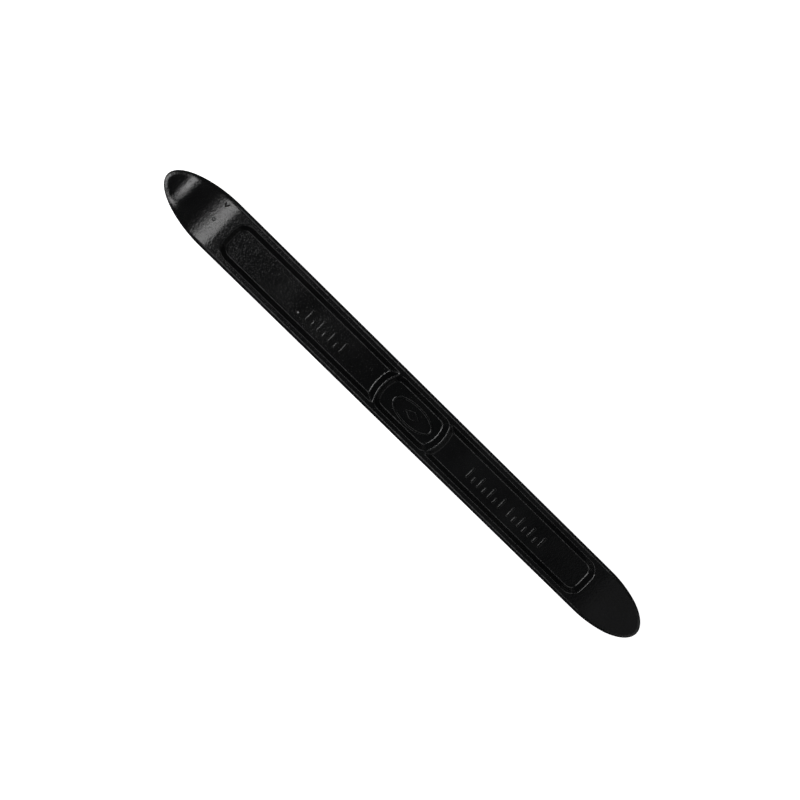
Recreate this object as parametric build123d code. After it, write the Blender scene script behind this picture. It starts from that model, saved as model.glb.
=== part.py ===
from build123d import *
import math
import os

# Tyre lever: one drop forging with an I-section shank, a dropped spoon at the -X end and a
# thin tongue at the +X end. X runs along the lever, Y across it and Z up. The upper face
# carries the raised marks. The origin is under the middle of the lever, level with the
# lowest point of the spoon. All sizes are in millimetres and degrees.

# Overall sizes
LENGTH = 240.0  # tip to tip
WIDTH = 20.4  # across the flanks, which are parallel
THICKNESS = 9.0  # of the shank, from the upper land to the lower one
WEB = 4.6  # left between the upper and lower panels

# Plan shape of the two ends: half ellipses as wide as the shank. Their lengths run from a
# tip to where the flanks become parallel.
SPOON_END_LENGTH = 25.8
TONGUE_END_LENGTH = 24.0

EDGE_RADIUS = 1.0  # all round, where the flanks meet the upper and lower faces
EDGE_SHARE = 0.45  # of the thinner tip, which the edge radius never exceeds

# Rim between the flank and a panel, and the walls that slope down to the panel's floor
RIM = 2.8  # from the outer edge of the lever to the crest of the panel wall
WALL_RUN = 1.9  # width of the sloped wall, seen from above
FLOOR_BLEND = 0.7  # radius where it meets the floor

# Long panels and the centre panel, on both faces
SPOON_LAND = 30.0  # from the spoon's tip to the crest of the nearer long panel's end
TONGUE_LAND = 28.7  # from the tongue's tip to the crest of the nearer long panel's end
PANEL_CORNER = 5.0  # crest radius at the outer corners
CENTRE_LENGTH = 29.2  # crest to crest along the lever, in the middle of the centre panel
CENTRE_CORNER = 3.2  # crest radius at its corners
RIB_BULGE = 2.2  # how far each rib bows away from the centre panel
RIB_CREST = 0.5  # width of the rib's top
CORNER_TRIM = 1.2  # crest radius where a rib meets the sides of a long panel

# Spoon, as tangent arcs that leave the shank's upper face level. Each has the slope at its
# end and its length along the lever; a positive slope falls, a negative one rises.
SPOON_START = 27.7  # from the tip to where the upper face starts to fall
SPOON_TOP = [(9.0, 2.0), (23.0, 6.2), (31.0, 3.4), (30.0, 4.5), (0.0, 6.0)]
SPOON_CURL = -6.0  # slope of the upper face at the very tip
SPOON_THICKNESS = 2.4  # at the foot of the fall, before the dish
SPOON_UNDER_START = 27.0  # from the tip to where the lower face starts to fall
SPOON_UNDER = [(6.7, 12.0), (0.0, 12.0)]  # slopes are scaled to give the spoon its thickness
DISH_FROM_TIP = 8.0  # centre of the shallow dish in the spoon
DISH_RADIUS = 34.0
DISH_DEPTH = 0.45
DISH_PROBE = 0.2  # side of the square on which the height of the undished spoon is taken

# Tongue, whose faces bend away from level and then run to the tip. The slopes are scaled to
# give the tip its thickness.
TONGUE_START = 27.0
TONGUE_BEND = 10.0  # run of the bend
TONGUE_TOP = (9.0, 7.0)  # slope of the upper face after the bend and at the tip
TONGUE_UNDER = (-9.0, -5.5)
TONGUE_TIP = 2.9

# Raised marks: plain bars of two heights that stand on the floors of the upper panels
MARK_HEIGHT = 0.6
MARK_WIDTH = 1.2
MARK_CORNER = 0.3
MARK_TALL = 5.0
MARK_SHORT = 2.8
MARK_PITCH = 2.75
MARK_OFFSET = -0.5  # across the lever, from its centre line to the middle of the tall bars
LEFT_MARKS = (-42.0, 7)  # centre along the lever, and how many bars
INNER_MARKS = (39.2, 7)
OUTER_MARKS = (60.2, 7)

# Emblem of the centre panel: a plain oval ring round a lozenge, as large as the floor allows
EMBLEM_END_GAP = 3.2  # from the ring to the floor's edge at either end, before EMBLEM_PLACE
EMBLEM_SIDE_GAP = 1.2  # from the ring to the floor's edge on either side, before EMBLEM_PLACE
EMBLEM_RING = 1.0
LOZENGE_LENGTH = 7.0
LOZENGE_WIDTH = 3.4
EMBLEM_PLACE = (1.0, -0.5)  # along the lever and across it, from the middle

HALF_LENGTH = LENGTH / 2
HALF_WIDTH = WIDTH / 2
HALF_THICKNESS = THICKNESS / 2
PANEL_DEPTH = (THICKNESS - WEB) / 2
WALL_ANGLE = math.degrees(math.atan2(WALL_RUN, PANEL_DEPTH))
PANEL_HALF_WIDTH = HALF_WIDTH - RIM
EMBLEM_HALF_LENGTH = CENTRE_LENGTH / 2 - WALL_RUN - EMBLEM_END_GAP
EMBLEM_HALF_WIDTH = PANEL_HALF_WIDTH - WALL_RUN - EMBLEM_SIDE_GAP
END_RUN = 1.0  # how far the side profile runs on past a tip, for the plan to cut off


def arcs_outwards(start, side, stages):
    """Tangent arcs from a level start towards +X or -X, one for each slope and run."""
    arcs = []
    point = start
    slope = 0.0
    for end_slope, run in stages:
        rise = math.sin(math.radians(end_slope)) - math.sin(math.radians(slope))
        heading = (side * math.cos(math.radians(slope)), -math.sin(math.radians(slope)))
        turn = side * (slope - end_slope)
        arc = JernArc(start=point, tangent=heading, radius=abs(run / rise), arc_size=turn)
        arcs.append(arc)
        point = arc @ 1
        slope = end_slope
    return arcs


def fall_of(stages):
    """How far a chain of tangent arcs falls over its whole run."""
    total = 0.0
    slope = 0.0
    for end_slope, run in stages:
        start_angle = math.radians(slope)
        end_angle = math.radians(end_slope)
        total += run * math.tan((start_angle + end_angle) / 2)
        slope = end_slope
    return total


def scaled(stages, factor):
    """The same chain of arcs with its slopes scaled."""
    return [(slope * factor, run) for slope, run in stages]


def spoon_under_stages():
    fall = SPOON_THICKNESS - THICKNESS + fall_of(SPOON_TOP)
    return scaled(SPOON_UNDER, fall / fall_of(SPOON_UNDER))


def tongue_stages():
    """The chains of arcs of the tongue's upper and lower faces."""
    runs = (TONGUE_BEND, TONGUE_START - TONGUE_BEND)
    top = list(zip(TONGUE_TOP, runs))
    under = list(zip(TONGUE_UNDER, runs))
    factor = (THICKNESS - TONGUE_TIP) / (fall_of(top) - fall_of(under))
    return scaled(top, factor), scaled(under, factor)


def side_profile():
    """Outline of the lever seen from the side, with the mid-plane of the shank at zero."""
    top_left = (SPOON_START - HALF_LENGTH, HALF_THICKNESS)
    top_right = (HALF_LENGTH - TONGUE_START, HALF_THICKNESS)
    under_left = (SPOON_UNDER_START - HALF_LENGTH, -HALF_THICKNESS)
    under_right = (HALF_LENGTH - TONGUE_START, -HALF_THICKNESS)
    fallen = sum(run for slope, run in SPOON_TOP)
    curl = (SPOON_CURL, SPOON_START - fallen + END_RUN)
    spoon_top = arcs_outwards(top_left, -1, SPOON_TOP + [curl])
    spoon_under = arcs_outwards(under_left, -1, spoon_under_stages())
    top_stages, under_stages = tongue_stages()
    tongue_top = arcs_outwards(top_right, 1, top_stages)
    tongue_under = arcs_outwards(under_right, 1, under_stages)
    spoon_tip = (-HALF_LENGTH - END_RUN, (spoon_under[-1] @ 1).Y)
    lines = [
        Line(top_left, top_right),
        Line(under_left, under_right),
        Line(spoon_under[-1] @ 1, spoon_tip),
        Line(spoon_tip, spoon_top[-1] @ 1),
        Line(tongue_top[-1] @ 1, tongue_under[-1] @ 1),
    ]
    return make_face(Curve() + spoon_top + spoon_under + tongue_top + tongue_under + lines)


def plan_outline():
    """Outline of the lever seen from above: parallel flanks between two half ellipses."""
    left = SPOON_END_LENGTH - HALF_LENGTH
    right = HALF_LENGTH - TONGUE_END_LENGTH
    spoon = EllipticalCenterArc(
        (left, 0), SPOON_END_LENGTH, HALF_WIDTH, start_angle=90, arc_size=180
    )
    tongue = EllipticalCenterArc(
        (right, 0), TONGUE_END_LENGTH, HALF_WIDTH, start_angle=-90, arc_size=180
    )
    upper = Line((left, HALF_WIDTH), (right, HALF_WIDTH))
    lower = Line((left, -HALF_WIDTH), (right, -HALF_WIDTH))
    return make_face(Curve() + [spoon, tongue, upper, lower])


def blank():
    """The forging before its panels: side profile and plan together, with sloped flanks."""
    profile = extrude(Plane.XZ * side_profile(), amount=WIDTH, both=True)
    plan = extrude(plan_outline(), amount=THICKNESS * 2, both=True)
    body = profile & plan
    rim = body.edges().filter_by(Axis.Y, reverse=True).filter_by(Axis.Z, reverse=True)
    return fillet(rim, min(EDGE_RADIUS, EDGE_SHARE * min(SPOON_THICKNESS, TONGUE_TIP)))


def bow(middle, side):
    """Arc across a panel, bowed towards +X or -X by the bulge of a rib."""
    corner = side * (middle - RIB_BULGE)
    return ThreePointArc((corner, -PANEL_HALF_WIDTH), (side * middle, 0), (corner, PANEL_HALF_WIDTH))


def long_panel_outline(end_land):
    """Crest of a long panel on the +X side, whose inner end is hollowed by the bowed rib."""
    inner = CENTRE_LENGTH / 2 + RIB_CREST
    outer = HALF_LENGTH - end_land
    rib_end = inner - RIB_BULGE
    upper = Line((rib_end, PANEL_HALF_WIDTH), (outer, PANEL_HALF_WIDTH))
    end = Line((outer, PANEL_HALF_WIDTH), (outer, -PANEL_HALF_WIDTH))
    lower = Line((outer, -PANEL_HALF_WIDTH), (rib_end, -PANEL_HALF_WIDTH))
    panel = make_face(Curve() + [bow(inner, 1), upper, end, lower])
    corners = panel.vertices().group_by(Axis.X)
    panel = fillet(corners[-1], PANEL_CORNER)
    return fillet(panel.vertices().group_by(Axis.X)[0], CORNER_TRIM)


def centre_panel_outline():
    """Crest of the centre panel, with an end bowed outwards on each side."""
    half = CENTRE_LENGTH / 2
    corner = half - RIB_BULGE
    upper = Line((-corner, PANEL_HALF_WIDTH), (corner, PANEL_HALF_WIDTH))
    lower = Line((-corner, -PANEL_HALF_WIDTH), (corner, -PANEL_HALF_WIDTH))
    panel = make_face(Curve() + [bow(half, -1), upper, bow(half, 1), lower])
    return fillet(panel.vertices(), CENTRE_CORNER)


def panel_cuts():
    """Hollows of all the panels: a long one at each end and one in the middle, on each face."""
    outlines = [
        long_panel_outline(TONGUE_LAND),
        mirror(long_panel_outline(SPOON_LAND), Plane.YZ),
        centre_panel_outline(),
    ]
    cuts = []
    for outline in outlines:
        upper = extrude(Pos(0, 0, HALF_THICKNESS) * outline, amount=-PANEL_DEPTH, taper=WALL_ANGLE)
        floor = upper.faces().sort_by(Axis.Z)[0]
        upper = fillet(floor.edges(), FLOOR_BLEND)
        cuts.append(upper)
        cuts.append(mirror(upper, Plane.XY))
    return cuts


def spoon_dish(body):
    """Ball that presses the shallow dish into the upper face of the spoon."""
    along = DISH_FROM_TIP - HALF_LENGTH
    probe = Pos(along, 0, 0) * Box(DISH_PROBE, DISH_PROBE, THICKNESS * 3)
    surface = (body & probe).bounding_box().max.Z
    return Pos(along, 0, surface + DISH_RADIUS - DISH_DEPTH) * Sphere(DISH_RADIUS)


def lever_forging():
    body = blank()
    body = body - spoon_dish(body)
    for cut in panel_cuts():
        body = body - cut
    return body


def bar(along, height, base):
    """One raised bar whose foot is in line with its neighbours' feet."""
    foot = MARK_OFFSET - MARK_TALL / 2
    face = Pos(along, foot + height / 2) * RectangleRounded(MARK_WIDTH, height, MARK_CORNER)
    return extrude(Pos(0, 0, base) * face, amount=MARK_HEIGHT)


def mark_row(centre, count, base):
    """A row of bars, tall and short by turns, starting and ending with a tall one."""
    bars = []
    for index in range(count):
        along = centre + (index - (count - 1) / 2) * MARK_PITCH
        height = MARK_TALL if index % 2 == 0 else MARK_SHORT
        bars.append(bar(along, height, base))
    return Compound(children=bars)


def centre_emblem(base):
    """A plain oval ring with a lozenge in the middle of it."""
    ring = Ellipse(EMBLEM_HALF_LENGTH, EMBLEM_HALF_WIDTH)
    ring -= Ellipse(EMBLEM_HALF_LENGTH - EMBLEM_RING, EMBLEM_HALF_WIDTH - EMBLEM_RING)
    half_length = LOZENGE_LENGTH / 2
    half_width = LOZENGE_WIDTH / 2
    corners = [(half_length, 0), (0, half_width), (-half_length, 0), (0, -half_width)]
    lozenge = make_face(Polyline(corners, close=True))
    place = Pos(*EMBLEM_PLACE, base)
    solids = [extrude(place * face, amount=MARK_HEIGHT) for face in (ring, lozenge)]
    return Compound(children=solids)


def main():
    forging = lever_forging()
    lowest = forging.bounding_box().min.Z
    floor = WEB / 2 - lowest
    nodes = {
        "lever_forging": Pos(0, 0, -lowest) * forging,
        "left_marks": mark_row(*LEFT_MARKS, floor),
        "right_inner_marks": mark_row(*INNER_MARKS, floor),
        "right_outer_marks": mark_row(*OUTER_MARKS, floor),
        "centre_emblem": centre_emblem(floor),
    }
    os.makedirs("parts", exist_ok=True)
    for name, shape in nodes.items():
        export_step(shape, f"parts/{name}.step")


main()
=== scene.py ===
import math

import bmesh
import bpy
from bpy.props import FloatProperty, FloatVectorProperty, IntProperty, PointerProperty
from mathutils import Matrix, Vector


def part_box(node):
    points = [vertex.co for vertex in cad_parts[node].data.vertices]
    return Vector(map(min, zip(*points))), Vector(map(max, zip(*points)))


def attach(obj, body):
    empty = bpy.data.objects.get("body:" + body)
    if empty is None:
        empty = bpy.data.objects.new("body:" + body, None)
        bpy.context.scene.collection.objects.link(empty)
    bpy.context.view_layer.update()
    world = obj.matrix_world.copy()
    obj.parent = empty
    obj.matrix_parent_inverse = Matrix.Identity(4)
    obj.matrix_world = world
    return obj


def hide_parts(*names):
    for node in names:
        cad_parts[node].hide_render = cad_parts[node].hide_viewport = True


bl_info = {
    "name": "Tyre Lever",
    "version": (1, 0, 0),
    "blender": (4, 5, 0),
    "location": "3D View > Sidebar > Tyre Lever",
    "description": "Builds a painted tyre lever forging, its raised marks and a plain stage",
    "category": "Object",
}

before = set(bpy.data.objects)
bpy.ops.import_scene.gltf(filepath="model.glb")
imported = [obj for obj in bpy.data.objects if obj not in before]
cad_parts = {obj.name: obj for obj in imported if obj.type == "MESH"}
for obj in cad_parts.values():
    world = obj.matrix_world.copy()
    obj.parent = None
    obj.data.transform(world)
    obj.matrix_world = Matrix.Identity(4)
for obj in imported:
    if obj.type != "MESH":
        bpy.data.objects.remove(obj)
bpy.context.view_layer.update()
LOW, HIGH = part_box("lever_forging")
BODY = "root"
MM = 0.001

LENGTH = HIGH.x - LOW.x
WIDTH = HIGH.y - LOW.y
HALF_LENGTH = LENGTH / 2
HALF_WIDTH = WIDTH / 2

# Spoon and tongue: tangent arcs that leave the shank level, each with the slope at its end
# in degrees and its length along the lever. A positive slope falls, a negative one rises.
SPOON_TOP = [
    (9.0, 2.0 * MM),
    (23.0, 6.2 * MM),
    (31.0, 3.4 * MM),
    (30.0, 4.5 * MM),
    (0.0, 6.0 * MM),
]
SPOON_CURL = (-6.0, 6.6 * MM)
SPOON_UNDER = [(6.33, 12.0 * MM), (0.0, 12.0 * MM)]
TONGUE_TOP = [(8.96, 10.0 * MM), (6.97, 17.0 * MM)]
TONGUE_UNDER = [(-8.96, 10.0 * MM), (-5.48, 17.0 * MM)]
UNDER_START = 27.0 * MM


class LeverSizes(bpy.types.PropertyGroup):
    """Sizes of the forging that a maker would change."""

    thickness: FloatProperty(
        name="Thickness", description="Shank, from land to land", default=9.0 * MM, unit="LENGTH"
    )
    web: FloatProperty(
        name="Web", description="Left between the upper and lower panels",
        default=4.6 * MM, unit="LENGTH",
    )
    spoon_end: FloatProperty(
        name="Spoon end", description="From its tip to the parallel flanks",
        default=25.8 * MM, unit="LENGTH",
    )
    tongue_end: FloatProperty(
        name="Tongue end", description="From its tip to the parallel flanks",
        default=24.0 * MM, unit="LENGTH",
    )
    corner: FloatProperty(
        name="Corner", description="Radius between a face and the flank",
        default=1.6 * MM, unit="LENGTH",
    )
    flash: FloatProperty(
        name="Flash", description="Height of the trimmed parting line",
        default=0.1 * MM, unit="LENGTH",
    )
    rim: FloatProperty(
        name="Rim", description="From the outer edge to a panel's crest",
        default=2.8 * MM, unit="LENGTH",
    )
    wall_run: FloatProperty(
        name="Wall run", description="Width of a panel's sloped wall",
        default=1.9 * MM, unit="LENGTH",
    )
    spoon_land: FloatProperty(
        name="Spoon land", description="From its tip to a long panel",
        default=30.0 * MM, unit="LENGTH",
    )
    tongue_land: FloatProperty(
        name="Tongue land", description="From its tip to a long panel",
        default=28.7 * MM, unit="LENGTH",
    )
    panel_corner: FloatProperty(
        name="Panel corner", description="Outer corner radius of a long panel",
        default=5.0 * MM, unit="LENGTH",
    )
    centre_length: FloatProperty(
        name="Centre length", description="Crest to crest of the centre panel",
        default=29.2 * MM, unit="LENGTH",
    )
    rib_bulge: FloatProperty(
        name="Rib bulge", description="How far a rib bows outwards",
        default=2.2 * MM, unit="LENGTH",
    )
    rib_crest: FloatProperty(
        name="Rib crest", description="Width of a rib's top", default=0.5 * MM, unit="LENGTH"
    )
    spoon_start: FloatProperty(
        name="Spoon start", description="From the tip to where the spoon falls",
        default=27.7 * MM, unit="LENGTH",
    )
    tongue_start: FloatProperty(
        name="Tongue start", description="From the tip to where the tongue thins",
        default=27.0 * MM, unit="LENGTH",
    )
    dish_depth: FloatProperty(
        name="Dish depth", description="Hollow in the spoon", default=0.45 * MM, unit="LENGTH"
    )
    unevenness: FloatProperty(
        name="Unevenness", description="Waviness that the dies leave",
        default=0.07 * MM, unit="LENGTH",
    )
    seed: IntProperty(name="Seed", description="Chooses the pattern of the waviness", default=7)


class MarkSizes(bpy.types.PropertyGroup):
    """Sizes of the raised bars and of the emblem."""

    width: FloatProperty(
        name="Bar width", description="Of one bar", default=1.2 * MM, unit="LENGTH"
    )
    tall: FloatProperty(
        name="Tall bar", description="Height of a tall bar", default=5.0 * MM, unit="LENGTH"
    )
    short: FloatProperty(
        name="Short bar", description="Height of a short bar", default=2.8 * MM, unit="LENGTH"
    )
    count: IntProperty(name="Bars", description="Number of bars in a row", default=7, min=1)
    ring: FloatProperty(
        name="Ring", description="Width of the oval ring", default=1.0 * MM, unit="LENGTH"
    )
    lozenge_length: FloatProperty(
        name="Lozenge length", description="Along the lever", default=7.0 * MM, unit="LENGTH"
    )
    lozenge_width: FloatProperty(
        name="Lozenge width", description="Across the lever", default=3.4 * MM, unit="LENGTH"
    )


class LeverFinish(bpy.types.PropertyGroup):
    """Colour and surface of the paint."""

    paint: FloatVectorProperty(
        name="Paint", description="Gloss black",
        subtype="COLOR", default=(0.0022, 0.0023, 0.0025), min=0, max=1,
    )
    dust: FloatVectorProperty(
        name="Dust", description="Greyer film in the hollows", subtype="COLOR",
        default=(0.005, 0.0052, 0.0055), min=0, max=1,
    )
    primer: FloatVectorProperty(
        name="Primer", description="Shows where the paint is chipped", subtype="COLOR",
        default=(0.05, 0.047, 0.045), min=0, max=1,
    )
    roughness: FloatProperty(
        name="Roughness", description="Of the smoothest paint",
        default=0.18, min=0, max=1, subtype="FACTOR",
    )
    peel: FloatProperty(
        name="Orange peel", description="Depth of the paint's fine pebbling",
        default=0.048 * MM, unit="LENGTH",
    )


class StageSettings(bpy.types.PropertyGroup):
    """Floor, lights and camera."""

    floor: FloatVectorProperty(
        name="Floor", description="Pale sheet",
        subtype="COLOR", default=(0.9, 0.9, 0.9), min=0, max=1,
    )
    tilt: FloatProperty(
        name="View tilt", description="Camera's lean towards the spoon",
        default=math.radians(9), subtype="ANGLE",
    )
    roll: FloatProperty(
        name="View roll", description="Slant of the lever in the view",
        default=math.radians(44.45), subtype="ANGLE",
    )
    distance: FloatProperty(
        name="View distance", description="From the camera to the lever",
        default=2 * LENGTH, unit="LENGTH",
    )
    key: FloatProperty(name="Key light", description="Brightness of the key light", default=6.0)
    strip: FloatProperty(
        name="Side strips", description="Brightness of each side strip", default=1.4
    )
    glow: FloatProperty(
        name="Tongue glow", description="Brightness of the tongue's light", default=0.16
    )
    low_glow: FloatProperty(
        name="Low glow", description="Brightness beyond the tongue", default=0.6
    )
    surround: FloatProperty(name="Surround", description="Brightness of the room", default=0.035)


class Value:
    """A number in a node tree. Arithmetic on it adds Math nodes."""

    def __init__(self, maker, socket):
        self.maker = maker
        self.socket = socket

    def math(self, operation, *terms):
        node = self.maker.node("ShaderNodeMath", {"operation": operation}, [self, *terms])
        return Value(self.maker, node.outputs[0])

    def __add__(self, other):
        return self.math("ADD", other)

    __radd__ = __add__

    def __sub__(self, other):
        return self.math("SUBTRACT", other)

    def __rsub__(self, other):
        return self * -1.0 + other

    def __mul__(self, other):
        return self.math("MULTIPLY", other)

    __rmul__ = __mul__

    def __truediv__(self, other):
        return self.math("DIVIDE", other)

    def __rtruediv__(self, other):
        return self**-1.0 * other

    def __pow__(self, other):
        return self.math("POWER", other)

    def __rpow__(self, other):
        node = self.maker.node("ShaderNodeMath", {"operation": "POWER"}, [other, self])
        return Value(self.maker, node.outputs[0])

    def __abs__(self):
        return self.math("ABSOLUTE")

    def root(self):
        return self.math("SQRT")

    def lowest(self, other):
        return self.math("MINIMUM", other)

    def highest(self, other):
        return self.math("MAXIMUM", other)

    def soft_lowest(self, other, blend):
        return self.math("SMOOTH_MIN", other, blend)

    def soft_highest(self, other, blend):
        return self.math("SMOOTH_MAX", other, blend)

    def within(self, low, high):
        return self.highest(low).lowest(high)


class Maker:
    """Adds nodes to one node tree."""

    def __init__(self, tree):
        self.tree = tree

    def node(self, kind, settings=None, sockets=None):
        """A node of that kind, with its settings set before its sockets are filled or linked."""
        node = self.tree.nodes.new(kind)
        for name, setting in (settings or {}).items():
            setattr(node, name, setting)
        pairs = enumerate(sockets) if isinstance(sockets, list) else (sockets or {}).items()
        for name, value in pairs:
            self.fill(node.inputs[name], value)
        return node

    def fill(self, socket, value):
        if isinstance(value, Value):
            value = value.socket
        if isinstance(value, bpy.types.NodeSocket):
            self.tree.links.new(value, socket)
        else:
            socket.default_value = value

    def value(self, kind, settings=None, sockets=None):
        return Value(self, self.node(kind, settings, sockets).outputs[0])

    def axes(self, vector):
        """The three numbers of a vector."""
        node = self.node("ShaderNodeSeparateXYZ", sockets=[vector])
        return [Value(self, output) for output in node.outputs]

    def vector(self, x, y, z):
        return self.node("ShaderNodeCombineXYZ", sockets=[x, y, z]).outputs[0]


# Geometry Nodes

def new_geometry_tree(name, inputs):
    """A tree with one geometry input and a named number input for each name."""
    tree = bpy.data.node_groups.new(name, "GeometryNodeTree")
    tree.is_modifier = True
    tree.interface.new_socket("Geometry", in_out="INPUT", socket_type="NodeSocketGeometry")
    for label in inputs:
        tree.interface.new_socket(label, in_out="INPUT", socket_type="NodeSocketFloat")
    tree.interface.new_socket("Geometry", in_out="OUTPUT", socket_type="NodeSocketGeometry")
    maker = Maker(tree)
    group = maker.node("NodeGroupInput")
    values = {label: Value(maker, group.outputs[label]) for label in inputs}
    return maker, group.outputs["Geometry"], values


def end_tree(maker, geometry, material):
    """Realizes what is instanced, gives it the material and ends the tree."""
    real = maker.node("GeometryNodeRealizeInstances", sockets={"Geometry": geometry})
    smooth = maker.node("GeometryNodeSetShadeSmooth", sockets={"Geometry": real.outputs[0]})
    painted = maker.node(
        "GeometryNodeSetMaterial", sockets={"Geometry": smooth.outputs[0], "Material": material}
    )
    maker.node("NodeGroupOutput", sockets={"Geometry": painted.outputs[0]})


def grow(name, start_mesh, maker, inputs):
    """Runs a tree on a start mesh and returns the result as a plain mesh object."""
    holder = bpy.data.objects.new(name + "_start", start_mesh)
    bpy.context.scene.collection.objects.link(holder)
    modifier = holder.modifiers.new(name, "NODES")
    modifier.node_group = maker.tree
    for item in maker.tree.interface.items_tree:
        if item.in_out == "INPUT" and item.name in inputs:
            modifier[item.identifier] = float(inputs[item.name])
    graph = bpy.context.evaluated_depsgraph_get()
    mesh = bpy.data.meshes.new_from_object(holder.evaluated_get(graph))
    holder.modifiers.remove(modifier)
    bpy.data.objects.remove(holder)
    if not mesh.polygons:
        raise RuntimeError(f"{name} came out empty")
    mesh.name = name
    piece = bpy.data.objects.new(name, mesh)
    bpy.context.scene.collection.objects.link(piece)
    return piece


def declare(piece, *nodes):
    """Fixes a finished piece to the lever's body in place of the nodes that it stands for."""
    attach(piece, BODY)
    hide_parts(*nodes)


# The forging's start mesh: a closed pillow with the lever's outline, whose height is the
# share of the way from the parting line to a face: 1 on the upper face, -1 on the lower.

END_STEPS = 84
CORNER_STEPS = 8
SIDE_STEPS = 3
DRAFT = math.radians(3)
FLASH_WIDTH = 0.45 * MM
FLASH_FOOT = 1.6  # width of the flash where it leaves the flank, over its width at the edge
TIP_ROUND = 0.3 * MM
THINNING_SHARE = 0.6  # of the spoon's run, over which the edge turns from shank to tip

# Spacing of the mesh, close together where the surface turns quickly
RIB_STEP = 0.6 * MM
OPEN_STEP = 1.3 * MM
END_STEP = 0.16 * MM
FLOOR_STEP = 0.65 * MM
WALL_STEP = 0.15 * MM
LAND_STEP = 0.25 * MM
RIB_INNER_REACH = 5.0 * MM
RIB_OUTER_REACH = 4.2 * MM
END_REACH = 5.5 * MM
FLOOR_REACH = 0.7 * MM
CREST_REACH = 0.35 * MM


def lengths_of(stretches):
    """Places from zero to the end of the last stretch, each stretch with its own spacing."""
    places = [0.0]
    for end, spacing in stretches:
        count = max(1, round((end - places[-1]) / spacing))
        start = places[-1]
        places += [start + (end - start) * (step + 1) / count for step in range(count)]
    return places


def mirrored(places):
    return [-place for place in reversed(places[1:])] + places


def straight_places(sizes, end):
    """Places along half of the shank, close together at the rib and at the panel's outer end."""
    rib = sizes.centre_length / 2
    return lengths_of([
        (rib - RIB_INNER_REACH, RIB_STEP),
        (rib + RIB_OUTER_REACH, END_STEP),
        (HALF_LENGTH - sizes.spoon_land - END_REACH, OPEN_STEP),
        (end, END_STEP),
    ])


def outline_stations(sizes):
    """Points of the upper half of the outline and their outward normals, from tip to tip."""
    halves = []
    for end_length in (sizes.spoon_end, sizes.tongue_end):
        places = straight_places(sizes, HALF_LENGTH - end_length)
        half = [(x, HALF_WIDTH, 0.0, 1.0) for x in places]
        for step in range(1, END_STEPS + 1):
            angle = math.pi / 2 * step / END_STEPS
            along = HALF_LENGTH - end_length + end_length * math.sin(angle)
            across = HALF_WIDTH * math.cos(angle)
            normal = Vector((math.sin(angle) / end_length, math.cos(angle) / HALF_WIDTH))
            normal.normalize()
            half.append((along, across, normal.x, normal.y))
        halves.append(half)
    spoon, tongue = halves
    turned = [(-x, y, -normal_x, normal_y) for x, y, normal_x, normal_y in reversed(spoon[1:])]
    return turned + tongue


def flank_rings(sizes, thinned):
    """Inset and rise of each ring on the flank, from the upper face down to the lower one.

    The shank has a round corner over a nearly upright side. Where the lever has thinned to
    its tip, the whole edge is one round. The share says how far it has thinned.
    """
    half = sizes.thickness / 2
    upright = half - sizes.corner
    lean = upright * math.tan(DRAFT)
    flash_rise = FLASH_WIDTH / sizes.thickness
    upper = []
    for step in range(CORNER_STEPS - 1, -1, -1):
        angle = math.pi / 2 * step / CORNER_STEPS
        shank_inset = lean + sizes.corner * (1 - math.cos(angle))
        shank_rise = 1 - sizes.corner * (1 - math.sin(angle)) / half
        upper.append((shank_inset, shank_rise))
    for step in range(SIDE_STEPS - 1, 0, -1):
        share = step / SIDE_STEPS
        upper.append((lean * share, (upright * share + FLASH_WIDTH / 2) / half))
    full = len(upper)
    rings = []
    for index, (inset, rise) in enumerate(upper):
        turn = math.pi / 2 * (1 - (index + 1) / (full + 1))
        round_inset = TIP_ROUND * (1 - math.cos(turn))
        round_rise = math.sin(turn)
        rings.append((
            sizes.flash + inset + (round_inset - inset) * thinned,
            rise + (round_rise - rise) * thinned,
        ))
    rings += [(sizes.flash, FLASH_FOOT * flash_rise), (0.0, flash_rise)]
    return rings + [(inset, -rise) for inset, rise in reversed(rings)]


def pillow(sizes):
    """The closed start mesh. Its doubled points at the two tips are merged in the tree."""
    lean = (sizes.thickness / 2 - sizes.corner) * math.tan(DRAFT)
    inner_inset = sizes.flash + lean + sizes.corner
    inner_width = HALF_WIDTH - inner_inset
    crest = HALF_WIDTH - sizes.rim
    across = lengths_of([
        (crest - sizes.wall_run - FLOOR_REACH, FLOOR_STEP),
        (crest + CREST_REACH, WALL_STEP),
        (inner_width, LAND_STEP),
    ])
    shares = [place / inner_width for place in mirrored(across)]
    thin_from = HALF_LENGTH - sizes.spoon_start
    points = []
    for along, half, normal_x, normal_y in outline_stations(sizes):
        thinned = (abs(along) - thin_from) / (THINNING_SHARE * sizes.spoon_start)
        thinned = min(max(thinned, 0.0), 1.0)
        rings = flank_rings(sizes, thinned)
        inner_x = along - normal_x * inner_inset
        inner_y = max(half - normal_y * inner_inset, 0.0)
        points += [(inner_x, -share * inner_y, 1.0) for share in shares]
        flank = [
            (along - normal_x * inset, max(half - normal_y * inset, 0.0), rise)
            for inset, rise in rings
        ]
        points += [(x, -y, rise) for x, y, rise in flank]
        points += [(inner_x, share * inner_y, -1.0) for share in shares]
        points += reversed(flank)
    loop = 2 * (len(shares) + len(rings))
    faces = []
    for first in range(0, len(points) - loop, loop):
        for step in range(loop):
            following = (step + 1) % loop
            near = (first + step, first + following)
            far = (first + loop + following, first + loop + step)
            faces.append(near + far)
    mesh = bpy.data.meshes.new("pillow")
    mesh.from_pydata(points, [], faces)
    return mesh


# The forging's rule

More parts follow.
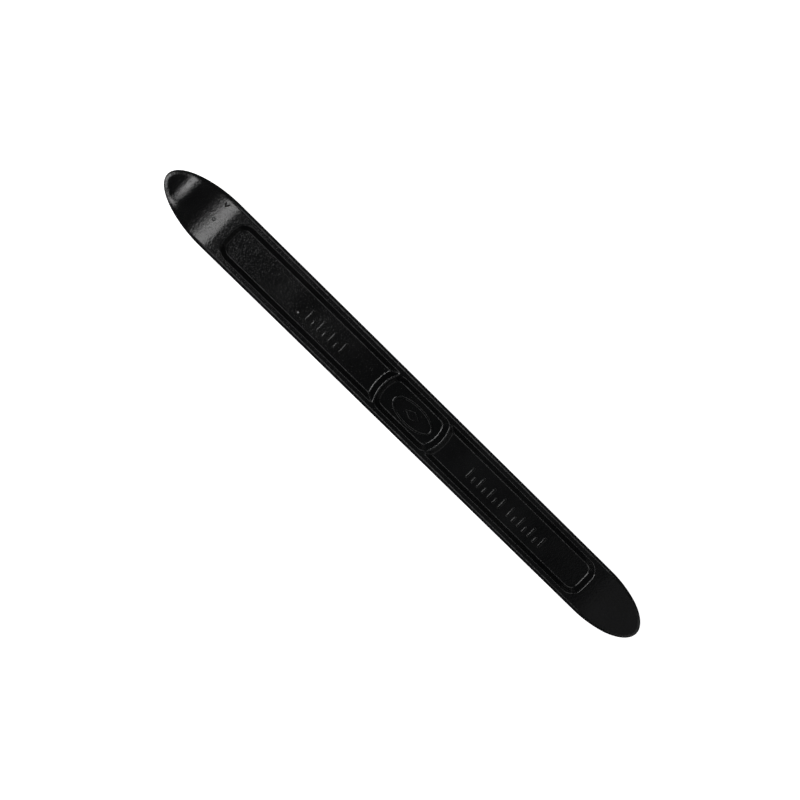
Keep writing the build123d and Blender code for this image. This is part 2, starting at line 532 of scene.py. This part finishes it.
CREST_BLEND = 0.2  # share of the panel's depth over which the wall rounds into the land
FLOOR_BLEND = 0.3  # the same into the floor
RIB_CORNER_BLEND = 1.6 * MM
CENTRE_CORNER_BLEND = 3.0 * MM
DISH_FROM_TIP = 8.0 * MM
DISH_REACH = 5.6 * MM
DISH_EDGE = 0.5
MERGE_GAP = 0.0005 * MM
WAVE_SCALE = 95.0
HIGHEST_WAVE = 0.76  # of the noise, so that the waves only sink into the surface


def fallen(along, stages):
    """How far a chain of tangent arcs has fallen at a distance along the lever."""
    total = 0.0
    start = 0.0
    slope = 0.0
    for end_slope, run in stages:
        sine = math.sin(math.radians(slope))
        bend = (math.sin(math.radians(end_slope)) - sine) / run
        turned = (along - start).within(0.0, run) * bend + sine
        level = math.cos(math.radians(slope))
        total = total + (level - (1 - turned * turned).root()) / bend
        start += run
        slope = end_slope
    return total


def hollow(distance, run):
    """Share of a panel's depth at a distance inside its crest, with both edges rounded."""
    share = distance / run
    return share.soft_highest(0.0, CREST_BLEND).soft_lowest(1.0, FLOOR_BLEND)


def panel_hollows(x, y, sizes):
    """Share of the panels' depth over the plan of the lever."""
    far = abs(x)
    side = abs(y)
    half_width = HALF_WIDTH - sizes["Rim"]
    radius = (half_width * half_width + sizes["Rib bulge"] ** 2) / (sizes["Rib bulge"] * 2)
    spoon_side = x.math("LESS_THAN", 0.0)
    further = sizes["Spoon land"] - sizes["Tongue land"]
    outer = HALF_LENGTH - sizes["Tongue land"] - spoon_side * further
    corner = sizes["Panel corner"]
    past_end = far - (outer - corner)
    past_side = side - (half_width - corner)
    round_part = (past_end.highest(0.0) ** 2 + past_side.highest(0.0) ** 2).root()
    box = round_part + past_end.highest(past_side).lowest(0.0) - corner
    inner = sizes["Centre length"] / 2 + sizes["Rib crest"]
    from_rib = ((far - (inner - radius)) ** 2 + side**2).root()
    long_panel = box.soft_highest(radius - from_rib, RIB_CORNER_BLEND)
    half = sizes["Centre length"] / 2
    from_bow = ((far - (half - radius)) ** 2 + side**2).root()
    centre_panel = (side - half_width).soft_highest(from_bow - radius, CENTRE_CORNER_BLEND)
    run = sizes["Wall run"]
    return hollow(long_panel * -1.0, run).highest(hollow(centre_panel * -1.0, run))


def forging_tree(material, names):
    """Turns the pillow into the forging: side profile, panels, dish and waviness."""
    maker, geometry, sizes = new_geometry_tree("Forging", names)
    place = maker.node("GeometryNodeInputPosition").outputs[0]
    x, y, rise = maker.axes(place)
    half = sizes["Thickness"] / 2
    from_spoon = sizes["Spoon start"] - HALF_LENGTH - x
    from_tongue = x - (HALF_LENGTH - sizes["Tongue start"])
    top = half - fallen(from_spoon, SPOON_TOP + [SPOON_CURL]) - fallen(from_tongue, TONGUE_TOP)
    under_spoon = UNDER_START - HALF_LENGTH - x
    under = -1.0 * half - fallen(under_spoon, SPOON_UNDER) - fallen(from_tongue, TONGUE_UNDER)
    depth = (sizes["Thickness"] - sizes["Web"]) / 2 * panel_hollows(x, y, sizes)
    dish_x = (x + (HALF_LENGTH - DISH_FROM_TIP)) / DISH_REACH
    dish_y = y / DISH_REACH
    dish = (1 - dish_x**2 - dish_y**2).soft_highest(0.0, DISH_EDGE) * sizes["Dish depth"]
    upper = top - depth - dish
    lower = under + depth
    share = (rise + 1) / 2
    z = lower + (upper - lower) * share
    shaped = maker.node(
        "GeometryNodeSetPosition",
        sockets={"Geometry": geometry, "Position": maker.vector(x, y, z)},
    )
    merged = maker.node(
        "GeometryNodeMergeByDistance",
        sockets={"Geometry": shaped.outputs[0], "Distance": MERGE_GAP},
    )
    waves = maker.value(
        "ShaderNodeTexNoise",
        {"noise_dimensions": "4D"},
        {"W": sizes["Seed"], "Scale": WAVE_SCALE, "Detail": 1.5, "Roughness": 0.45},
    )
    normal = maker.node("GeometryNodeInputNormal").outputs[0]
    push = maker.node(
        "ShaderNodeVectorMath",
        {"operation": "SCALE"},
        {"Vector": normal, "Scale": (waves - HIGHEST_WAVE) * sizes["Unevenness"]},
    )
    uneven = maker.node(
        "GeometryNodeSetPosition",
        sockets={"Geometry": merged.outputs[0], "Offset": push.outputs[0]},
    )
    lifted = maker.node(
        "GeometryNodeTransform",
        sockets={"Geometry": uneven.outputs[0], "Translation": (0, 0, middle_height())},
    )
    end_tree(maker, lifted.outputs[0], material)
    return maker


def middle_height():
    """Height of the shank's mid-plane over the lowest point of the lever."""
    return HIGH.z - bpy.context.scene.lever_sizes.thickness / 2


def face_outwards(piece):
    """Turns every face outwards, which the closed mesh of a finished piece allows."""
    work = bmesh.new()
    work.from_mesh(piece.data)
    bmesh.ops.recalc_face_normals(work, faces=work.faces)
    work.to_mesh(piece.data)
    work.free()


# Raised marks

CROWN_POWER = 0.35  # the lower, the flatter the crown and the steeper the sides
BAR_PLAN_POWER = 0.35  # the lower, the squarer the plan
LOZENGE_PLAN_POWER = 1.7
LEAST_RADIUS = 0.0001  # keeps the ball's poles from dividing by zero
OVAL_STEPS = 96
SECTION_STEPS = 16


def rounded_solid(maker, place, length, width, height, plan_power):
    """Place on a solid with a low crown for a place on a unit ball. The power squares its plan."""
    x, y, z = maker.axes(place)

    def squared(term, power):
        return term.math("SIGN") * abs(term) ** power

    flat = (x**2 + y**2).root().highest(LEAST_RADIUS)
    ring_x = squared(x / flat, plan_power)
    ring_y = squared(y / flat, plan_power)
    return maker.vector(
        ring_x * flat * length / 2, ring_y * flat * width / 2, squared(z, CROWN_POWER) * height
    )


def ball(maker, segments, rings):
    node = maker.node(
        "GeometryNodeMeshUVSphere", sockets={"Segments": segments, "Rings": rings, "Radius": 1.0}
    )
    return node.outputs["Mesh"]


def mark_tree(material):
    """A row of rounded bars, tall and short by turns, on a common foot line."""
    names = ["Centre", "Foot", "Base", "Count", "Pitch"]
    names += ["Bar width", "Tall bar", "Short bar", "Height"]
    maker, _, sizes = new_geometry_tree("Mark row", names)
    count = sizes["Count"]
    line = maker.node(
        "GeometryNodeMeshLine",
        sockets={"Count": count, "Offset": maker.vector(sizes["Pitch"], 0.0, 0.0)},
    )
    place = maker.node("GeometryNodeInputPosition").outputs[0]
    index = maker.value("GeometryNodeInputIndex")
    is_short = index.math("MODULO", 2.0)
    tall = sizes["Tall bar"] * (1 - is_short) + sizes["Short bar"] * is_short
    first = sizes["Centre"] - (count - 1) * sizes["Pitch"] / 2
    start = maker.vector(first, sizes["Foot"], sizes["Base"])
    raised = maker.vector(0.0, tall / 2, 0.0)
    offset = maker.node("ShaderNodeVectorMath", {"operation": "ADD"}, [start, raised])
    moved = maker.node(
        "GeometryNodeSetPosition",
        sockets={"Geometry": line.outputs[0], "Offset": offset.outputs[0]},
    )
    shape = rounded_solid(maker, place, 1.0, 1.0, 1.0, BAR_PLAN_POWER)
    bar = maker.node(
        "GeometryNodeSetPosition",
        sockets={"Geometry": ball(maker, segments=32, rings=16), "Position": shape},
    )
    instances = maker.node(
        "GeometryNodeInstanceOnPoints",
        sockets={
            "Points": moved.outputs[0],
            "Instance": bar.outputs[0],
            "Scale": maker.vector(sizes["Bar width"], tall, sizes["Height"]),
        },
    )
    end_tree(maker, instances.outputs[0], material)
    return maker


def emblem_tree(material):
    """An oval ring of rounded section with a lozenge in the middle."""
    names = ["Length", "Width", "Ring", "Lozenge length", "Lozenge width"]
    names += ["Height", "Base", "Along", "Across"]
    maker, _, sizes = new_geometry_tree("Oval emblem", names)
    place = maker.node("GeometryNodeInputPosition").outputs[0]
    circle = maker.node(
        "GeometryNodeCurvePrimitiveCircle", sockets={"Resolution": OVAL_STEPS, "Radius": 1.0}
    )
    x, y, _ = maker.axes(place)
    middle_x = (sizes["Length"] - sizes["Ring"]) / 2
    middle_y = (sizes["Width"] - sizes["Ring"]) / 2
    oval = maker.node(
        "GeometryNodeSetPosition",
        sockets={
            "Geometry": circle.outputs[0],
            "Position": maker.vector(x * middle_x, y * middle_y, 0.0),
        },
    )
    section = maker.node(
        "GeometryNodeCurvePrimitiveCircle", sockets={"Resolution": SECTION_STEPS, "Radius": 1.0}
    )
    sized = maker.node(
        "GeometryNodeSetPosition",
        sockets={
            "Geometry": section.outputs[0],
            "Position": maker.vector(
                x * sizes["Ring"] / 2, y.math("SIGN") * abs(y) ** CROWN_POWER * sizes["Height"], 0.0
            ),
        },
    )
    ring = maker.node(
        "GeometryNodeCurveToMesh",
        sockets={"Curve": oval.outputs[0], "Profile Curve": sized.outputs[0]},
    )
    shape = rounded_solid(
        maker,
        place,
        sizes["Lozenge length"],
        sizes["Lozenge width"],
        sizes["Height"],
        LOZENGE_PLAN_POWER,
    )
    lozenge = maker.node(
        "GeometryNodeSetPosition",
        sockets={"Geometry": ball(maker, segments=48, rings=16), "Position": shape},
    )
    both = maker.node("GeometryNodeJoinGeometry", sockets={"Geometry": ring.outputs[0]})
    maker.fill(both.inputs[0], lozenge.outputs[0])
    placed = maker.node(
        "GeometryNodeTransform",
        sockets={
            "Geometry": both.outputs[0],
            "Translation": maker.vector(sizes["Along"], sizes["Across"], sizes["Base"]),
        },
    )
    end_tree(maker, placed.outputs[0], material)
    return maker


# Paint

CHIP_PLACE = (-97.6 * MM, 5.9 * MM)
CHIP_HALF_WIDTH = 0.8 * MM
CHIP_HEIGHT = 1.5 * MM
PIT_PLACE = (-97.4 * MM, 0.0)
PIT_RADIUS = 0.9 * MM
STAR_PLACE = (-54.5 * MM, -2.8 * MM)
STAR_RADIUS = 0.8 * MM

# Shape of the chip and of the pit's ring, whose place is a share of the pit's radius
CHIP_SHARPNESS = 2.5
CHIP_END_SHARPNESS = 4.0
RING_PLACE = 0.45
RING_SHARPNESS = 5.0

# Relief of each part of the paint, over the depth of its pebbling
PEEL_RELIEF = 1.1
COARSE_RELIEF = 1.5
GRAIN_RELIEF = 1.0
RING_RELIEF = 3.0
CHIP_RELIEF = 8.0
STAR_RELIEF = 4.0

# How the dust and the duller patches are spread, and how bare the chip and the star are
DUST_CONTRAST = 2.2
DUST_AMOUNT = 0.35
DULL_FROM = 0.42
DULL_GAIN = 0.25
CHIP_DULLNESS = 0.5
CHIP_BARENESS = 0.6
STAR_BARENESS = 0.5

# Scales of the noises, in cells a metre
BROAD_SCALE = 60.0
PEEL_SCALE = 900.0
COARSE_SCALE = 1500.0
GRAIN_SCALE = 2600.0


def spot(x, y, place, radius):
    """One in the middle of a round spot, falling to zero at its radius."""
    away = ((x - place[0]) ** 2 + (y - place[1]) ** 2).root() / radius
    return (1 - away).within(0.0, 1.0)


def noise(maker, place, scale, detail):
    return maker.value(
        "ShaderNodeTexNoise", sockets={"Vector": place, "Scale": scale, "Detail": detail}
    )


def paint_material():
    """Gloss black paint on a forged surface, with orange peel, a chip, a pit and thin dust."""
    name = "Gloss Black Paint"
    if name in bpy.data.materials:
        return bpy.data.materials[name]
    finish = bpy.context.scene.lever_finish
    material = bpy.data.materials.new(name)
    material.use_nodes = True
    material.node_tree.nodes.clear()
    maker = Maker(material.node_tree)
    place = maker.node("ShaderNodeTexCoord").outputs["Object"]
    x, y, _ = maker.axes(place)
    broad = noise(maker, place, BROAD_SCALE, 3.0)
    peel = noise(maker, place, PEEL_SCALE, 2.0)
    grain = noise(maker, place, GRAIN_SCALE, 2.0)
    chip_x = abs(x - CHIP_PLACE[0]) / CHIP_HALF_WIDTH
    chip_y = (y - CHIP_PLACE[1]) / CHIP_HEIGHT
    arms = (1 - abs(chip_x - chip_y) * CHIP_SHARPNESS).within(0.0, 1.0)
    top_end = ((1 - chip_y) * CHIP_END_SHARPNESS).within(0.0, 1.0)
    chip = arms * top_end * (chip_y * CHIP_END_SHARPNESS + 1.0).within(0.0, 1.0)
    pit = spot(x, y, PIT_PLACE, PIT_RADIUS)
    ring = (1 - abs(pit - RING_PLACE) * RING_SHARPNESS).within(0.0, 1.0)
    star = spot(x, y, STAR_PLACE, STAR_RADIUS)
    dusty = ((broad - 0.5) * DUST_CONTRAST + DUST_AMOUNT).within(0.0, 1.0)
    colour = maker.node(
        "ShaderNodeMix",
        {"data_type": "RGBA"},
        {6: (*finish.paint, 1), 7: (*finish.dust, 1), 0: dusty},
    )
    bared = (chip * CHIP_BARENESS + star * STAR_BARENESS).within(0.0, 1.0)
    chipped = maker.node(
        "ShaderNodeMix",
        {"data_type": "RGBA"},
        {6: colour.outputs[2], 7: (*finish.primer, 1), 0: bared},
    )
    coarse = noise(maker, place, COARSE_SCALE, 3.0)
    height = peel * PEEL_RELIEF + coarse * COARSE_RELIEF + grain * GRAIN_RELIEF
    height = height + ring * RING_RELIEF - chip * CHIP_RELIEF - star * STAR_RELIEF
    dull = (broad - DULL_FROM).within(0.0, 1.0) * DULL_GAIN
    roughness = finish.roughness + dull + chip * CHIP_DULLNESS
    bump = maker.node(
        "ShaderNodeBump", sockets={"Strength": 1.0, "Distance": finish.peel, "Height": height}
    )
    shader = maker.node(
        "ShaderNodeBsdfPrincipled",
        sockets={
            "Base Color": chipped.outputs[2],
            "Roughness": roughness.within(0.0, 1.0),
            "IOR": 1.5,
            "Normal": bump.outputs[0],
        },
    )
    maker.node("ShaderNodeOutputMaterial", sockets={"Surface": shader.outputs[0]})
    return material


# Stage

FLOOR_GLOW = 0.9
FLOOR_REACH_OUT = 3.0  # from the middle to each side, in metres
SPOON_REST = 7.0 * MM  # from the spoon's tip to where it touches the floor
CAMERA_AIM = (-5.8 * MM, 0.46 * MM)
VIEW_WIDTH = 1.1995 * LENGTH

# Each light's lean and bearing in degrees, its distance and its spans in metres, and the
# setting that holds its brightness.
LIGHTS = {
    "key": (30.5, 195, 1.6, (0.66, 0.9), "key"),
    "upper_strip": (52, 90, 1.4, (1.2, 0.5), "strip"),
    "lower_strip": (52, -90, 1.4, (1.2, 0.5), "strip"),
    "tongue_glow": (38, 0, 1.4, (0.5, 1.2), "glow"),
    "low_glow": (66, 0, 1.4, (0.4, 1.2), "low_glow"),
}


def floor_material():
    """Pale matt sheet that gives off most of its light itself, so that it stays even."""
    settings = bpy.context.scene.stage_settings
    material = bpy.data.materials.new("Pale Sheet")
    material.use_nodes = True
    material.node_tree.nodes.clear()
    maker = Maker(material.node_tree)
    place = maker.node("ShaderNodeTexCoord").outputs["Object"]
    mottle = noise(maker, place, 30.0, 2.0)
    shader = maker.node(
        "ShaderNodeBsdfPrincipled",
        sockets={
            "Base Color": (*settings.floor, 1),
            "Roughness": mottle * 0.1 + 0.75,
            "Emission Color": (1, 1, 1, 1),
            "Emission Strength": FLOOR_GLOW,
        },
    )
    maker.node("ShaderNodeOutputMaterial", sockets={"Surface": shader.outputs[0]})
    return material


class LEVER_OT_forging(bpy.types.Operator):
    """Builds the painted forging: shank, spoon, tongue, panels and ribs"""

    bl_idname = "lever.forging"
    bl_label = "Forging"

    def execute(self, context):
        sizes = context.scene.lever_sizes
        inputs = {
            "Thickness": sizes.thickness,
            "Web": sizes.web,
            "Rim": sizes.rim,
            "Wall run": sizes.wall_run,
            "Spoon land": sizes.spoon_land,
            "Tongue land": sizes.tongue_land,
            "Panel corner": sizes.panel_corner,
            "Centre length": sizes.centre_length,
            "Rib bulge": sizes.rib_bulge,
            "Rib crest": sizes.rib_crest,
            "Spoon start": sizes.spoon_start,
            "Tongue start": sizes.tongue_start,
            "Dish depth": sizes.dish_depth,
            "Unevenness": sizes.unevenness,
            "Seed": sizes.seed,
        }
        tree = forging_tree(paint_material(), list(inputs))
        forging = grow("painted_forging", pillow(sizes), tree, inputs)
        face_outwards(forging)
        declare(forging, "lever_forging")
        return {"FINISHED"}


class LEVER_OT_marks(bpy.types.Operator):
    """Builds the three rows of raised bars on the floors of the long panels"""

    bl_idname = "lever.marks"
    bl_label = "Raised marks"

    def execute(self, context):
        sizes = context.scene.mark_sizes
        tree = mark_tree(paint_material())
        for node in ("left_marks", "right_inner_marks", "right_outer_marks"):
            low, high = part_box(node)
            inputs = {
                "Centre": (low.x + high.x) / 2,
                "Foot": low.y,
                "Base": low.z,
                "Count": sizes.count,
                "Pitch": (high.x - low.x - sizes.width) / (sizes.count - 1),
                "Bar width": sizes.width,
                "Tall bar": sizes.tall,
                "Short bar": sizes.short,
                "Height": high.z - low.z,
            }
            row = grow("painted_" + node, bpy.data.meshes.new("empty"), tree, inputs)
            declare(row, node)
        return {"FINISHED"}


class LEVER_OT_emblem(bpy.types.Operator):
    """Builds the plain oval emblem of the centre panel"""

    bl_idname = "lever.emblem"
    bl_label = "Emblem"

    def execute(self, context):
        sizes = context.scene.mark_sizes
        low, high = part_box("centre_emblem")
        inputs = {
            "Length": high.x - low.x,
            "Width": high.y - low.y,
            "Ring": sizes.ring,
            "Lozenge length": sizes.lozenge_length,
            "Lozenge width": sizes.lozenge_width,
            "Height": high.z - low.z,
            "Base": low.z,
            "Along": (low.x + high.x) / 2,
            "Across": (low.y + high.y) / 2,
        }
        tree = emblem_tree(paint_material())
        emblem = grow("painted_emblem", bpy.data.meshes.new("empty"), tree, inputs)
        declare(emblem, "centre_emblem")
        return {"FINISHED"}


def add_floor():
    """Large pale sheet, tilted by the little that lets the lever lie on its spoon and shank."""
    shank_height = middle_height() - bpy.context.scene.lever_sizes.thickness / 2
    spoon_rest = LOW.x + SPOON_REST
    shank_rest = HIGH.x - bpy.context.scene.lever_sizes.tongue_start
    slope = shank_height / (shank_rest - spoon_rest)
    reach = FLOOR_REACH_OUT
    plan = ((-reach, -reach), (reach, -reach), (reach, reach), (-reach, reach))
    corners = [(x, y, (x - spoon_rest) * slope) for x, y in plan]
    mesh = bpy.data.meshes.new("floor")
    mesh.from_pydata(corners, [], [(0, 1, 2, 3)])
    mesh.materials.append(floor_material())
    floor = bpy.data.objects.new("floor", mesh)
    bpy.context.scene.collection.objects.link(floor)
    floor.visible_glossy = False


def add_area_light(name, direction, distance, spans, radiance):
    """Soft oblong light that shines on the middle of the lever from a direction.

    The first of its two spans lies along the lever.
    """
    light = bpy.data.lights.new(name, "AREA")
    light.shape = "RECTANGLE"
    light.size, light.size_y = spans
    light.energy = radiance * math.pi * spans[0] * spans[1]
    lamp = bpy.data.objects.new(name, light)
    back = Vector(direction).normalized()
    along = (Vector((1, 0, 0)) - back * back.x).normalized()
    turn = Matrix((along, back.cross(along), back)).transposed().to_4x4()
    lamp.matrix_world = Matrix.Translation(back * distance) @ turn
    bpy.context.scene.collection.objects.link(lamp)


def from_above(lean, bearing):
    """Direction that leans from the vertical towards a bearing, both in degrees."""
    lean = math.radians(lean)
    bearing = math.radians(bearing)
    return (math.sin(lean) * math.cos(bearing), math.sin(lean) * math.sin(bearing), math.cos(lean))


def add_camera(settings):
    """Camera nearly overhead, leaning towards the spoon, with the lever aslant in the view."""
    back = Vector((-math.sin(settings.tilt), 0, math.cos(settings.tilt)))
    along = Vector((math.cos(settings.tilt), 0, math.sin(settings.tilt)))
    across = Vector((0, 1, 0))
    right = along * math.cos(settings.roll) + across * math.sin(settings.roll)
    up = across * math.cos(settings.roll) - along * math.sin(settings.roll)
    aim = Vector((*CAMERA_AIM, middle_height()))
    camera = bpy.data.cameras.new("camera")
    camera.lens = camera.sensor_width * settings.distance / VIEW_WIDTH
    camera.clip_start = 0.01
    holder = bpy.data.objects.new("camera", camera)
    turn = Matrix((right, up, back)).transposed().to_4x4()
    holder.matrix_world = Matrix.Translation(aim + back * settings.distance) @ turn
    bpy.context.scene.collection.objects.link(holder)
    bpy.context.scene.camera = holder


class LEVER_OT_stage(bpy.types.Operator):
    """Sets up the pale floor, the soft lights and the camera"""

    bl_idname = "lever.stage"
    bl_label = "Stage"

    def execute(self, context):
        settings = context.scene.stage_settings
        add_floor()
        for name, (lean, bearing, distance, spans, setting) in LIGHTS.items():
            radiance = getattr(settings, setting)
            add_area_light(name, from_above(lean, bearing), distance, spans, radiance)
        world = bpy.data.worlds.new("studio")
        world.use_nodes = True
        world.node_tree.nodes["Background"].inputs["Color"].default_value = (0.95, 0.97, 1.0, 1)
        world.node_tree.nodes["Background"].inputs["Strength"].default_value = settings.surround
        context.scene.world = world
        context.scene.view_settings.view_transform = "Standard"
        add_camera(settings)
        return {"FINISHED"}


PARTS = (LEVER_OT_forging, LEVER_OT_marks, LEVER_OT_emblem, LEVER_OT_stage)


class LEVER_PT_parts(bpy.types.Panel):
    """Lists the parts of the lever and the sizes and finishes that can be changed"""

    bl_idname = "LEVER_PT_parts"
    bl_label = "Tyre Lever"
    bl_space_type = "VIEW_3D"
    bl_region_type = "UI"
    bl_category = "Tyre Lever"

    def draw(self, context):
        for part in PARTS:
            self.layout.operator(part.bl_idname)
        for group in GROUPS:
            settings = getattr(context.scene, group)
            for name in settings.bl_rna.properties.keys():
                if name not in ("rna_type", "name"):
                    self.layout.prop(settings, name)


GROUPS = {
    "lever_sizes": LeverSizes,
    "mark_sizes": MarkSizes,
    "lever_finish": LeverFinish,
    "stage_settings": StageSettings,
}
CLASSES = (*GROUPS.values(), *PARTS, LEVER_PT_parts)


def register():
    for item in CLASSES:
        bpy.utils.register_class(item)
    for name, group in GROUPS.items():
        setattr(bpy.types.Scene, name, PointerProperty(type=group))


def unregister():
    for name in GROUPS:
        delattr(bpy.types.Scene, name)
    for item in reversed(CLASSES):
        bpy.utils.unregister_class(item)


def main():
    register()
    bpy.ops.lever.forging()
    bpy.ops.lever.marks()
    bpy.ops.lever.emblem()
    bpy.ops.lever.stage()


if __name__ == "__main__":
    main()
